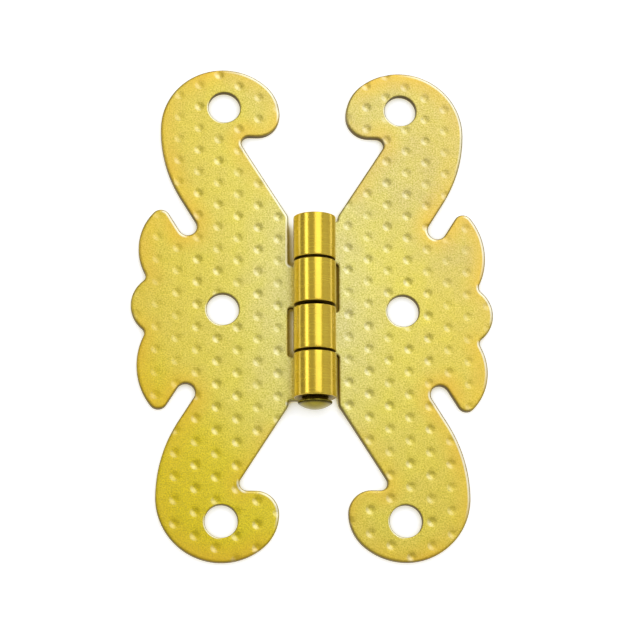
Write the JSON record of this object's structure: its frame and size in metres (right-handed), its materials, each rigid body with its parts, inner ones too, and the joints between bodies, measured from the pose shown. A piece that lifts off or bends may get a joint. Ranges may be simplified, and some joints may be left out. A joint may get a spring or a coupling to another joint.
{
  "type": "butterfly hinge",
  "caption": "Decorative butterfly hinge: two scrolled, hammered sheet leaves with rolled knuckles that swing about a dome-headed pin.",
  "frame": {"origin": "on the mounting face, under the middle of the barrel, with the hinge open flat", "axes": "+X from the left leaf to the right leaf, +Y along the pin away from its head, +Z out of the mounting face"},
  "size_m": [0.047, 0.0654, 0.0055],
  "materials": {
    "leaf_brass": "satin, hammered front",
    "pin_brass": "polished, slightly darker"
  },
  "bodies": {
    "fixed_leaf": {"left_leaf": "leaf_brass", "hinge_pin": "pin_brass"},
    "swinging_leaf": {"right_leaf": "leaf_brass"}
  },
  "joints": [
    {"name": "leaf_swing", "type": "hinge", "parent": "fixed_leaf", "child": "swinging_leaf", "pos_m": [0, 0, 0.00275], "axis": [0, -1, 0], "range_deg": [-90, 180]}
  ]
}
